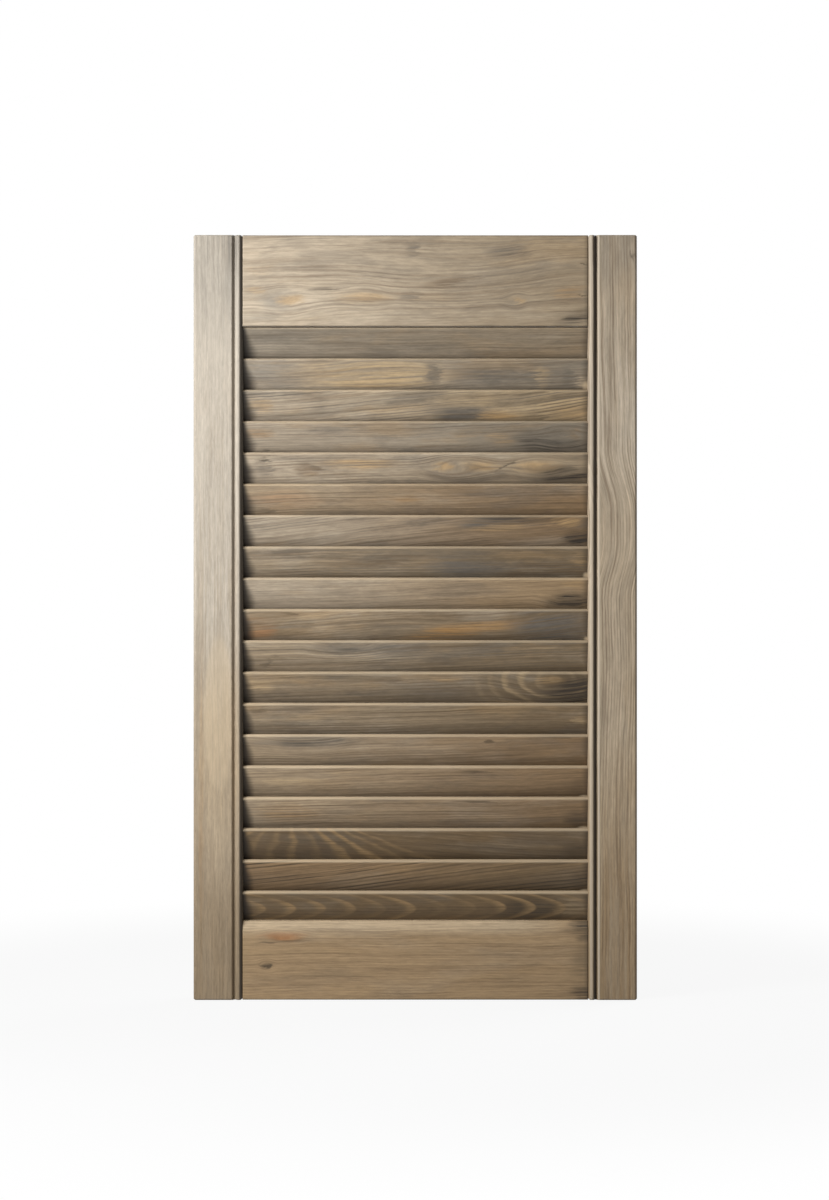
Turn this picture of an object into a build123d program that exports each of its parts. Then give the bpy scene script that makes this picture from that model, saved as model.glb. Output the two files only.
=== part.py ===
from build123d import *
import math
import os

# Louvred wooden shutter panel, in millimetres.
# Two beaded stiles and two rails make the frame, joined by blind tenons at the four corners.
# Fixed slats sit in slanted housings in the stiles.
# X runs along the width, Y from the front face to the back face, Z up.
# The origin is the middle of the bottom edge, half way through the thickness.

# Panel
PANEL_WIDTH = 400.0
PANEL_HEIGHT = 690.0

# Stiles, with a half-round bead and its quirk along the inner front edge
STILE_WIDTH = 44.0
STILE_THICKNESS = 21.0
STILE_ARRIS_RADIUS = 2.0
STILE_END_CHAMFER = 1.2
BEAD_WIDTH = 7.0
QUIRK_SLOPE_WIDTH = 2.3
QUIRK_FLOOR_WIDTH = 0.4

# Rails
TOP_RAIL_HEIGHT = 82.0
BOTTOM_RAIL_HEIGHT = 71.0
RAIL_SETBACK = 2.0
RAIL_EDGE_RADIUS = 1.0
RAIL_BEVEL_HEIGHT = 7.0
RAIL_BEVEL_DEPTH = 3.2
RAIL_BEVEL_RADIUS = 8.0

# Slats, leaning upper edge to the front by the tilt in degrees
SLAT_THICKNESS = 5.0
SLAT_EDGE_RADIUS = 1.8
SLAT_TILT = 18.0
SLAT_SPACING = 28.3
SLAT_OVERLAP = 6.2
SLAT_TOP_GAP = 0.4
SLAT_BOTTOM_REVEAL = 27.0
SLAT_BEHIND_BEAD = 0.5

# Slanted housings in the stiles, and the rebate that takes the lowest slat
HOUSING_DEPTH = 7.0
HOUSING_CLEARANCE = 0.2
SLAT_END_CLEARANCE = 0.5
REBATE_CLEARANCE = 0.5

# Blind tenons on the rails, set in from both edges of the rail, and their mortises in the stiles
TENON_THICKNESS = 7.0
TENON_LENGTH = 28.0
TENON_SHOULDER = 12.0
TENON_CHAMFER = 1.0
MORTISE_CLEARANCE = 0.1
MORTISE_END_CLEARANCE = 1.0

# Every cut runs past the face it opens on by this much
OVERRUN = 5.0

OUT_FOLDER = "parts"

# Sizes that follow from the ones above
FRONT = -STILE_THICKNESS / 2
BACK = STILE_THICKNESS / 2
BEAD_RADIUS = BEAD_WIDTH / 2
RAIL_FRONT = FRONT + RAIL_SETBACK
RAIL_BACK = BACK - RAIL_SETBACK
INNER_EDGE = PANEL_WIDTH / 2 - STILE_WIDTH
OPENING_WIDTH = 2 * INNER_EDGE
OPENING_BOTTOM = BOTTOM_RAIL_HEIGHT
OPENING_TOP = PANEL_HEIGHT - TOP_RAIL_HEIGHT

SLAT_TOPS_RUN = OPENING_TOP - SLAT_TOP_GAP - OPENING_BOTTOM - SLAT_BOTTOM_REVEAL
SLAT_GAPS = round(SLAT_TOPS_RUN / SLAT_SPACING)
SLAT_COUNT = SLAT_GAPS + 1
SLAT_PITCH = SLAT_TOPS_RUN / SLAT_GAPS
SLAT_LENGTH = OPENING_WIDTH + 2 * (HOUSING_DEPTH - SLAT_END_CLEARANCE)
SLAT_DROP = SLAT_PITCH + SLAT_OVERLAP
# Between the centres of its corner roundings, the section is a smaller rectangle
TILT_SINE = math.sin(math.radians(SLAT_TILT))
TILT_COSINE = math.cos(math.radians(SLAT_TILT))
CORE_THICKNESS = SLAT_THICKNESS - 2 * SLAT_EDGE_RADIUS
CORE_WIDTH = (SLAT_DROP - 2 * SLAT_EDGE_RADIUS - CORE_THICKNESS * TILT_SINE) / TILT_COSINE
SLAT_WIDTH = CORE_WIDTH + 2 * SLAT_EDGE_RADIUS
SLAT_DEPTH = CORE_WIDTH * TILT_SINE + CORE_THICKNESS * TILT_COSINE + 2 * SLAT_EDGE_RADIUS
SLAT_MIDDLE_Y = FRONT + BEAD_RADIUS + SLAT_BEHIND_BEAD + SLAT_DEPTH / 2


def slat_top(index):
    """Height of a slat's upper edge, counted from the top of the opening."""
    return OPENING_TOP - SLAT_TOP_GAP - index * SLAT_PITCH


def slat_section(index, clearance):
    """Section of one slat, grown all round by a clearance, on the plane across the slats."""
    with BuildSketch(Plane.YZ) as section:
        with Locations((SLAT_MIDDLE_Y, slat_top(index) - SLAT_DROP / 2)):
            RectangleRounded(
                SLAT_WIDTH + 2 * clearance,
                SLAT_THICKNESS + 2 * clearance,
                SLAT_EDGE_RADIUS + clearance,
                rotation=SLAT_TILT - 90,
            )
    return section.sketch


def slat(index):
    """One slat: a thin board with its long edges rounded, square at the ends."""
    return extrude(slat_section(index, clearance=0), amount=SLAT_LENGTH / 2, both=True)


def slat_housings():
    """The slanted housings of the left stile, as solids to cut away."""
    cuts = []
    for index in range(SLAT_COUNT):
        section = Pos(-INNER_EDGE - HOUSING_DEPTH, 0, 0) * slat_section(index, HOUSING_CLEARANCE)
        cuts.append(extrude(section, amount=HOUSING_DEPTH + OVERRUN))
    return cuts


def tenons(bottom, height, clearance, end_clearance):
    """The tenons at both ends of a rail as one long tongue, grown by clearances at its sides and ends."""
    tongue = Box(
        OPENING_WIDTH + 2 * (TENON_LENGTH + end_clearance),
        TENON_THICKNESS + 2 * clearance,
        height - 2 * TENON_SHOULDER + 2 * clearance,
    )
    return Pos(0, 0, bottom + height / 2) * tongue


def mortises():
    """The mortises for both rails' tenons, as solids to cut away."""
    return [
        tenons(0, BOTTOM_RAIL_HEIGHT, MORTISE_CLEARANCE, MORTISE_END_CLEARANCE),
        tenons(OPENING_TOP, TOP_RAIL_HEIGHT, MORTISE_CLEARANCE, MORTISE_END_CLEARANCE),
    ]


def stile_section():
    """Section of the left stile seen from above: flat face, quirk, half-round bead, square back."""
    outer = -PANEL_WIDTH / 2
    bead_base = FRONT + BEAD_RADIUS
    bead_outer = -INNER_EDGE - BEAD_WIDTH
    quirk_floor = bead_outer - QUIRK_FLOOR_WIDTH
    flat_end = quirk_floor - QUIRK_SLOPE_WIDTH
    with BuildSketch() as section:
        with BuildLine():
            Polyline(
                (-INNER_EDGE, bead_base),
                (-INNER_EDGE, BACK),
                (outer, BACK),
                (outer, FRONT),
                (flat_end, FRONT),
                (quirk_floor, bead_base),
                (bead_outer, bead_base),
            )
            ThreePointArc(
                (bead_outer, bead_base),
                (-INNER_EDGE - BEAD_RADIUS, FRONT),
                (-INNER_EDGE, bead_base),
            )
        make_face()
        corners = section.vertices()
        outer_corners = corners.group_by(Axis.X)[0]
        inner_back_corner = corners.group_by(Axis.X)[-1].sort_by(Axis.Y)[-1]
        fillet([*outer_corners, inner_back_corner], STILE_ARRIS_RADIUS)
    return section.sketch


def stile():
    """Left stile, with eased ends, and slat housings and mortises in its inner edge."""
    board = extrude(stile_section(), amount=PANEL_HEIGHT)
    ends = [board.faces().sort_by(Axis.Z)[0], board.faces().sort_by(Axis.Z)[-1]]
    outer_edges = []
    for end in ends:
        outer_edges += end.edges().group_by(Axis.X)[0]
    board = chamfer(outer_edges, STILE_END_CHAMFER)
    return board - slat_housings() - mortises()


def rail_tenons(bottom, height):
    """A rail's tenons with eased ends."""
    tongue = tenons(bottom, height, clearance=0, end_clearance=0)
    ends = [tongue.faces().sort_by(Axis.X)[0], tongue.faces().sort_by(Axis.X)[-1]]
    return chamfer([edge for end in ends for edge in end.edges()], TENON_CHAMFER)


def top_rail():
    """Top rail, with its front face eased all round and its back edges eased."""
    middle_z = OPENING_TOP + TOP_RAIL_HEIGHT / 2
    board = Pos(0, 0, middle_z) * Box(OPENING_WIDTH, RAIL_BACK - RAIL_FRONT, TOP_RAIL_HEIGHT)
    front_edges = board.faces().sort_by(Axis.Y)[0].edges()
    back_edges = board.faces().sort_by(Axis.Y)[-1].edges().filter_by(Axis.X)
    board = fillet([*front_edges, *back_edges], RAIL_EDGE_RADIUS)
    return board + rail_tenons(OPENING_TOP, TOP_RAIL_HEIGHT)


def rail_bevel():
    """The bevel along the bottom rail's upper front edge, rounded into the face, as a solid to cut away."""
    face_start = OPENING_BOTTOM - RAIL_BEVEL_HEIGHT - RAIL_BEVEL_RADIUS
    with BuildSketch(Plane.YZ) as section:
        with BuildLine():
            FilletPolyline(
                (RAIL_FRONT, face_start),
                (RAIL_FRONT, OPENING_BOTTOM - RAIL_BEVEL_HEIGHT),
                (RAIL_FRONT + RAIL_BEVEL_DEPTH, OPENING_BOTTOM),
                radius=RAIL_BEVEL_RADIUS,
            )
            Polyline(
                (RAIL_FRONT + RAIL_BEVEL_DEPTH, OPENING_BOTTOM),
                (RAIL_FRONT - OVERRUN, OPENING_BOTTOM),
                (RAIL_FRONT - OVERRUN, face_start),
                (RAIL_FRONT, face_start),
            )
        make_face()
    return extrude(section.sketch, amount=OPENING_WIDTH, both=True)


def rail_rebate():
    """The rebate behind the bottom rail's front lip, parallel to the lowest slat, as a solid to cut away."""
    lowest_top = slat_top(SLAT_COUNT - 1)
    floor = lowest_top - SLAT_DROP - REBATE_CLEARANCE
    top = OPENING_BOTTOM + OVERRUN

    def wall(height):
        below_middle = lowest_top - SLAT_DROP / 2 - height
        slat_face = SLAT_MIDDLE_Y + (below_middle * TILT_SINE - SLAT_THICKNESS / 2) / TILT_COSINE
        return slat_face - REBATE_CLEARANCE

    with BuildSketch(Plane.YZ) as section:
        Polygon(
            (wall(floor), floor),
            (RAIL_BACK + OVERRUN, floor),
            (RAIL_BACK + OVERRUN, top),
            (wall(top), top),
            align=None,
        )
    return extrude(section.sketch, amount=OPENING_WIDTH, both=True)


def bottom_rail():
    """Bottom rail, bevelled along its upper front edge and rebated behind it for the lowest slat."""
    middle_z = BOTTOM_RAIL_HEIGHT / 2
    board = Pos(0, 0, middle_z) * Box(OPENING_WIDTH, RAIL_BACK - RAIL_FRONT, BOTTOM_RAIL_HEIGHT)
    board = board - rail_bevel() - rail_rebate()
    front_face = board.faces().filter_by(Axis.Y).sort_by(Axis.Y)[0]
    lip_face = board.faces().filter_by(Axis.Z).sort_by(Axis.Z)[-1]
    lip_front = lip_face.edges().filter_by(Axis.X).sort_by(Axis.Y)[0]
    back_bottom = board.faces().sort_by(Axis.Y)[-1].edges().filter_by(Axis.X).sort_by(Axis.Z)[0]
    # The bevel's rounding carries on from the front face's upper edge, so that edge stays as it is
    front_edges = front_face.edges().sort_by(Axis.Z)[:-1]
    board = fillet([*front_edges, lip_front, back_bottom], RAIL_EDGE_RADIUS)
    return board + rail_tenons(0, BOTTOM_RAIL_HEIGHT)


def nodes():
    """Every separate piece of the shutter by its name."""
    left = stile()
    pieces = {
        "left_stile": left,
        "right_stile": mirror(left, about=Plane.YZ),
        "top_rail": top_rail(),
        "bottom_rail": bottom_rail(),
    }
    for index in range(SLAT_COUNT):
        pieces[f"slat_{index + 1:02d}"] = slat(index)
    return pieces


os.makedirs(OUT_FOLDER, exist_ok=True)
for name, piece in nodes().items():
    export_step(piece, os.path.join(OUT_FOLDER, f"{name}.step"))
print(f"slats {SLAT_COUNT}, pitch {SLAT_PITCH:.2f}, width {SLAT_WIDTH:.2f}, tilt {SLAT_TILT:.2f}")
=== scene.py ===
import math
from collections import namedtuple

import bpy
from mathutils import Matrix, Vector


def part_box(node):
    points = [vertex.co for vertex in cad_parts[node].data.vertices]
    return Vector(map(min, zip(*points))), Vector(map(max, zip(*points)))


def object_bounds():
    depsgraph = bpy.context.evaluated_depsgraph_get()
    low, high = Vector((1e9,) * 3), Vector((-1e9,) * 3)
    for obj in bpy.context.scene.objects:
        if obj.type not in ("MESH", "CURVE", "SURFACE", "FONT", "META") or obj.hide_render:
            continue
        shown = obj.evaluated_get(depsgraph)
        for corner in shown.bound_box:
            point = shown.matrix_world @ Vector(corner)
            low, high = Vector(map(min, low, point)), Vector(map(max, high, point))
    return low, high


# Louvred wooden shutter: stained pine, uneven from board to board, in soft light from the upper left.
# Metres, in the frame's own axes: X to the right, Y from the front to the back, Z up.

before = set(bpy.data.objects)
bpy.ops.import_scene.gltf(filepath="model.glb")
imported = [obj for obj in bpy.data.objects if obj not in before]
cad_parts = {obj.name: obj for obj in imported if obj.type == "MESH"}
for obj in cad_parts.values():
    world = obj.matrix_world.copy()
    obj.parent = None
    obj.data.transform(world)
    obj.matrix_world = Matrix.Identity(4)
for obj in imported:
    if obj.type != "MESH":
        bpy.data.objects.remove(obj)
cad_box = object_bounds()

# The photograph's frame and where the panel's outline lies in it, in pixels
PHOTO_HEIGHT_PX = 1200
PHOTO_WIDTH_PX = 829
PANEL_LEFT_PX = 193.3
PANEL_RIGHT_PX = 637.3
PANEL_TOP_PX = 234.8
PANEL_BOTTOM_PX = 1000.2

# Camera and lights
CAMERA_DISTANCE = 2.2
SENSOR_HEIGHT_MM = 36.0
KEY_PLACE = Vector((-0.72, -0.55, 1.00))
KEY_AIM = Vector((0.0, 0.0, 0.36))
KEY_SIZE = 0.32
KEY_POWER = 10.0
FILL_PLACE = Vector((-0.45, -0.65, 0.40))
FILL_AIM = Vector((0.0, 0.0, 0.36))
FILL_SIZE = 0.4
FILL_POWER = 2.8
BACK_PLACE = Vector((1.4, 1.1, 1.2))
BACK_AIM = Vector((0.0, 0.0, 0.35))
BACK_SIZE = 1.2
BACK_POWER = 30.0
AMBIENT_STRENGTH = 0.12
FLOOR_SIZE = 8.0
FLOOR_GREY = (0.5, 0.5, 0.5, 1.0)
FLOOR_SHADOW_SHARE = 0.10
FLOOR_SHADOW_REACH = 0.8

# Board sizes that the materials follow
SLATS = sorted(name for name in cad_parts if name.startswith("slat_"))
SLAT_THICKNESS = 0.005
SLAT_EDGE_RADIUS = 0.0018
SLAT_TILT = math.radians(18.0)
SLAT_PITCH = (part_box(SLATS[0])[1].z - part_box(SLATS[-1])[1].z) / (len(SLATS) - 1)
OPENING_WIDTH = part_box("right_stile")[0].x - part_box("left_stile")[1].x


def srgb(red, green, blue):
    """A colour written as 0 to 255, as linear light."""
    def linear(level):
        share = level / 255
        return share / 12.92 if share <= 0.04045 else ((share + 0.055) / 1.055) ** 2.4
    return (linear(red), linear(green), linear(blue), 1.0)


TONES = {
    # Painted light: the paler, greyer tone where the light and its sheen fall most on the stiles
    "pale_painted_light": srgb(188, 178, 163),
    "pale": srgb(206, 194, 174),
    # Paler wood: real wear, and also the colour of the painted highlights on edges, the bevel and the slats'
    # right ends
    "wear_and_highlight": srgb(204, 184, 154),
    "oat": srgb(174, 159, 138),
    "tan": srgb(182, 158, 122),
    "fawn": srgb(164, 145, 119),
    "honey": srgb(166, 140, 106),
    "umber": srgb(152, 135, 111),
    "taupe": srgb(146, 134, 116),
    "walnut": srgb(138, 113, 83),
    "grey": srgb(134, 128, 118),
    "drab": srgb(122, 104, 79),
    "bark": srgb(120, 99, 71),
    "slate": srgb(96, 90, 82),
    "brown": srgb(94, 75, 54),
    "amber": srgb(180, 148, 104),
    "orange": srgb(162, 125, 78),
    "russet": srgb(154, 112, 75),
    "dark": srgb(44, 37, 29),
}
WHITE = (1.0, 1.0, 1.0, 1.0)


class Graph:
    """Short calls that add nodes to a tree and link them. A value is a socket or a constant."""

    def __init__(self, tree):
        self.tree = tree

    def add(self, kind, **settings):
        """A new node with its settings."""
        node = self.tree.nodes.new(kind)
        for name, value in settings.items():
            setattr(node, name, value)
        return node

    def put(self, socket, value):
        """Links a socket to the input, or sets the constant on it."""
        if isinstance(value, bpy.types.NodeSocket):
            self.tree.links.new(value, socket)
        else:
            socket.default_value = value

    def math(self, operation, first, second=0.0, clamp=False):
        """A sum, product or other operation on one or two numbers."""
        node = self.add("ShaderNodeMath", operation=operation, use_clamp=clamp)
        self.put(node.inputs[0], first)
        self.put(node.inputs[1], second)
        return node.outputs[0]

    def vector(self, operation, first, second=(0.0, 0.0, 0.0)):
        """An operation on one or two vectors. A length comes out as a number."""
        node = self.add("ShaderNodeVectorMath", operation=operation)
        self.put(node.inputs[0], first)
        self.put(node.inputs[1], second)
        return node.outputs["Value" if operation == "LENGTH" else "Vector"]

    def parts(self, vector):
        """The three numbers of a vector."""
        node = self.add("ShaderNodeSeparateXYZ")
        self.put(node.inputs[0], vector)
        return node.outputs[0], node.outputs[1], node.outputs[2]

    def join(self, x, y, z):
        """A vector of three numbers."""
        node = self.add("ShaderNodeCombineXYZ")
        for socket, value in zip(node.inputs, (x, y, z)):
            self.put(socket, value)
        return node.outputs[0]

    def step(self, value, start, end, low=0.0, high=1.0):
        """A smooth step from low at start to high at end."""
        node = self.add("ShaderNodeMapRange", interpolation_type="SMOOTHSTEP")
        for socket, item in zip(node.inputs, (value, start, end, low, high)):
            self.put(socket, item)
        return node.outputs[0]

    def noise(self, vector, repeats, seed, detail=2.0, roughness=0.5):
        """Noise from 0 to 1, with so many repeats a metre along each axis."""
        node = self.add("ShaderNodeTexNoise", noise_dimensions="4D")
        self.put(node.inputs["Vector"], self.vector("MULTIPLY", vector, repeats))
        self.put(node.inputs["W"], seed)
        self.put(node.inputs["Scale"], 1.0)
        self.put(node.inputs["Detail"], detail)
        self.put(node.inputs["Roughness"], roughness)
        return node.outputs[0]

    def mix(self, share, first, second, blend="MIX"):
        """The first colour with a share of the second mixed in."""
        node = self.add("ShaderNodeMix", data_type="RGBA", blend_type=blend)
        self.put(node.inputs[0], share)
        self.put(node.inputs[6], first)
        self.put(node.inputs[7], second)
        return node.outputs[2]

    def group(self, tree, **values):
        """The outputs of a node group that is given these values."""
        node = self.add("ShaderNodeGroup", node_tree=tree)
        for name, value in values.items():
            self.put(node.inputs[name.replace("_", " ").capitalize()], value)
        return node.outputs


def new_group(name, inputs, outputs):
    """An empty node group with its input and output nodes."""
    tree = bpy.data.node_groups.new(name, "ShaderNodeTree")
    for socket, kind in inputs.items():
        tree.interface.new_socket(socket, in_out="INPUT", socket_type=f"NodeSocket{kind}")
    for socket, kind in outputs.items():
        tree.interface.new_socket(socket, in_out="OUTPUT", socket_type=f"NodeSocket{kind}")
    graph = Graph(tree)
    return graph, graph.add("NodeGroupInput").outputs, graph.add("NodeGroupOutput").inputs


# The grain: each noise's repeats a metre along, across and out of the board, and the levels that shape it.
# A ring darkens slowly and ends sharply, at shares of its width.
NOISE_MIDDLE = 0.5
SLOW_SWAY_REPEATS = (6.0, 16.0, 16.0)
SLOW_SWAY_WEIGHT = 2.0
QUICK_SWAY_REPEATS = (26.0, 70.0, 70.0)
QUICK_SWAY_WEIGHT = 0.5
RING_DARKENS_SHARES = (0.45, 0.85)
RING_ENDS_SHARES = (0.88, 1.0)
LEAST_RING_WEIGHT = 0.25
RING_PATCH_REPEATS = (14.0, 60.0, 60.0)
RING_PATCH_LEVELS = (0.38, 0.60)
LEAST_RING_PATCH = 0.30
LINE_REPEATS = (8.0, 520.0, 520.0)
PORE_REPEATS = (7.0, 330.0, 330.0)
PORE_SEED_OFFSET = 5.0
PORE_LEVELS = (0.52, 0.64)
FIBRE_REPEATS = (90.0, 800.0, 800.0)


def grain_group():
    """Growth rings round a pith beside the board, cut lengthwise, with fine fibres along them."""
    graph, given, result = new_group(
        "grain",
        {"Board": "Vector", "Seed": "Float", "Spacing": "Float", "Rise": "Float", "Wave": "Float",
         "Lean": "Float", "Pith across": "Float", "Pith depth": "Float"},
        {"Flow": "Vector", "Late": "Float", "Line": "Float", "Pore": "Float", "Fibre": "Float"},
    )
    along, across, depth = graph.parts(given["Board"])
    seed = given["Seed"]
    slow_noise = graph.noise(given["Board"], SLOW_SWAY_REPEATS, seed, detail=1.0)
    quick_noise = graph.noise(given["Board"], QUICK_SWAY_REPEATS, seed)
    slow = graph.math("MULTIPLY", graph.math("SUBTRACT", slow_noise, NOISE_MIDDLE), SLOW_SWAY_WEIGHT)
    quick = graph.math("MULTIPLY", graph.math("SUBTRACT", quick_noise, NOISE_MIDDLE), QUICK_SWAY_WEIGHT)
    shift = graph.math("MULTIPLY", graph.math("ADD", slow, quick), given["Wave"])
    climb = graph.math("MULTIPLY", along, given["Rise"])
    level = graph.math("ADD", graph.math("SUBTRACT", across, climb), shift)
    flow = graph.join(along, level, depth)
    graph.put(result["Flow"], flow)
    # Ring number by the distance from the pith, which leans along the board
    lean = graph.math("MULTIPLY", along, given["Lean"])
    beside = graph.math("SUBTRACT", level, given["Pith across"])
    behind = graph.math("ADD", graph.math("SUBTRACT", depth, given["Pith depth"]), lean)
    radius = graph.vector("LENGTH", graph.join(beside, behind, 0.0))
    ring = graph.math("DIVIDE", radius, given["Spacing"])
    part = graph.math("FRACT", ring)
    darkens = graph.step(part, *RING_DARKENS_SHARES)
    line = graph.math("MULTIPLY", darkens, graph.step(part, *RING_ENDS_SHARES, low=1.0, high=0.0))
    each = graph.add("ShaderNodeTexWhiteNoise", noise_dimensions="1D")
    graph.put(each.inputs["W"], graph.math("ADD", graph.math("FLOOR", ring), seed))
    weight = graph.step(each.outputs["Value"], 0.0, 1.0, low=LEAST_RING_WEIGHT)
    patch_noise = graph.noise(given["Board"], RING_PATCH_REPEATS, seed)
    patchy = graph.step(patch_noise, *RING_PATCH_LEVELS, low=LEAST_RING_PATCH)
    graph.put(result["Late"], graph.math("MULTIPLY", graph.math("MULTIPLY", line, weight), patchy))
    graph.put(result["Line"], graph.noise(flow, LINE_REPEATS, seed, detail=4.0, roughness=0.7))
    pore_seed = graph.math("ADD", seed, PORE_SEED_OFFSET)
    pore = graph.noise(flow, PORE_REPEATS, pore_seed, detail=3.0, roughness=0.6)
    graph.put(result["Pore"], graph.step(pore, *PORE_LEVELS))
    graph.put(result["Fibre"], graph.noise(flow, FIBRE_REPEATS, seed, detail=3.0, roughness=0.7))
    return graph.tree


# A layer of uneven stain: its noise's repeats a metre, the levels where it starts and is full, and the most
# that it covers there
Layer = namedtuple("Layer", "tone seed_offset repeats start full most")

STAIN_LAYERS = (
    Layer("pale", 0.0, (9.0, 38.0, 38.0), 0.48, 0.68, 0.28),
    Layer("slate", 11.0, (14.0, 55.0, 55.0), 0.49, 0.64, 0.45),
    Layer("amber", 23.0, (9.0, 42.0, 42.0), 0.52, 0.66, 0.35),
    Layer("brown", 37.0, (8.0, 430.0, 430.0), 0.50, 0.64, 0.35),
)


def tone_group():
    """The uneven stain: where the board is paler, greyer, warmer and darker than its main colour."""
    graph, given, result = new_group(
        "tone",
        {"Flow": "Vector", "Seed": "Float", "Main": "Color", "Unevenness": "Float"},
        {"Color": "Color"},
    )
    color = given["Main"]
    for layer in STAIN_LAYERS:
        seed = graph.math("ADD", given["Seed"], layer.seed_offset)
        noise = graph.noise(given["Flow"], layer.repeats, seed, detail=6.0, roughness=0.62)
        patch = graph.step(noise, layer.start, layer.full, high=layer.most)
        color = graph.mix(graph.math("MULTIPLY", patch, given["Unevenness"]), color, TONES[layer.tone])
    graph.put(result["Color"], color)
    return graph.tree


# The share of its half size at which a mark has gone
MARK_END_SHARE = 1.25


def mark_group():
    """One soft oval mark, drawn out along the grain."""
    graph, given, result = new_group(
        "mark",
        {"Place": "Vector", "Centre": "Vector", "Size": "Vector", "Slope": "Float", "Core": "Float"},
        {"Share": "Float"},
    )
    along, across = graph.parts(graph.vector("SUBTRACT", given["Place"], given["Centre"]))[:2]
    level = graph.math("SUBTRACT", across, graph.math("MULTIPLY", along, given["Slope"]))
    reach = graph.vector("LENGTH", graph.vector("DIVIDE", graph.join(along, level, 0.0), given["Size"]))
    graph.put(result["Share"], graph.step(reach, given["Core"], MARK_END_SHARE, low=1.0, high=0.0))
    return graph.tree


# Bold figures: how their rings sway, and the shares of a ring's width and of their reach where they change
FIGURE_SWAY_REPEATS = (40.0, 60.0, 60.0)
FIGURE_SWAY_SEED = 9.0
FIGURE_RISES_SHARES = (0.30, 0.70)
FIGURE_ENDS_SHARES = (0.74, 1.0)
FIGURE_FADES_SHARES = (0.6, 1.0)
LEAST_FIGURE_WEIGHT = 0.35


def figure_group(name, fan):
    """Bold rings round a centre, or a fan of them cut aslant below it, fading out with the distance."""
    graph, given, result = new_group(
        name,
        {"Place": "Vector", "Centre": "Vector", "Size": "Vector", "Count": "Float"},
        {"Share": "Float"},
    )
    sway = graph.noise(given["Place"], FIGURE_SWAY_REPEATS, FIGURE_SWAY_SEED, detail=3.0)
    offset = graph.vector("DIVIDE", graph.vector("SUBTRACT", given["Place"], given["Centre"]), given["Size"])
    along, across = graph.parts(offset)[:2]
    if fan:
        number = graph.math("DIVIDE", along, graph.math("ABSOLUTE", across))
    else:
        number = graph.vector("LENGTH", graph.join(along, across, 0.0))
    count = graph.math("ADD", number, sway)
    part = graph.math("FRACT", count)
    rises = graph.step(part, *FIGURE_RISES_SHARES)
    line = graph.math("MULTIPLY", rises, graph.step(part, *FIGURE_ENDS_SHARES, low=1.0, high=0.0))
    each = graph.add("ShaderNodeTexWhiteNoise", noise_dimensions="1D")
    graph.put(each.inputs["W"], graph.math("FLOOR", count))
    weight = graph.step(each.outputs["Value"], 0.0, 1.0, low=LEAST_FIGURE_WEIGHT)
    far = graph.math("DIVIDE", graph.math("ABSOLUTE", number), given["Count"])
    fade = graph.step(far, *FIGURE_FADES_SHARES, low=1.0, high=0.0)
    graph.put(result["Share"], graph.math("MULTIPLY", graph.math("MULTIPLY", line, weight), fade))
    return graph.tree


GRAIN = grain_group()
TONE = tone_group()
MARK = mark_group()
RINGS = figure_group("rings", fan=False)
FAN = figure_group("fan", fan=True)

# A mark's place and half size are shares of its board's visible face: along from its left or lower end,
# across from its lower or right edge. Slope is the rise to the right, core the share of even strength.
SOFT_CORE_SHARE = 0.25
Mark = namedtuple(
    "Mark", "tone along across length height strength slope core", defaults=(0.5, 0.0, SOFT_CORE_SHARE)
)

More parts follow.
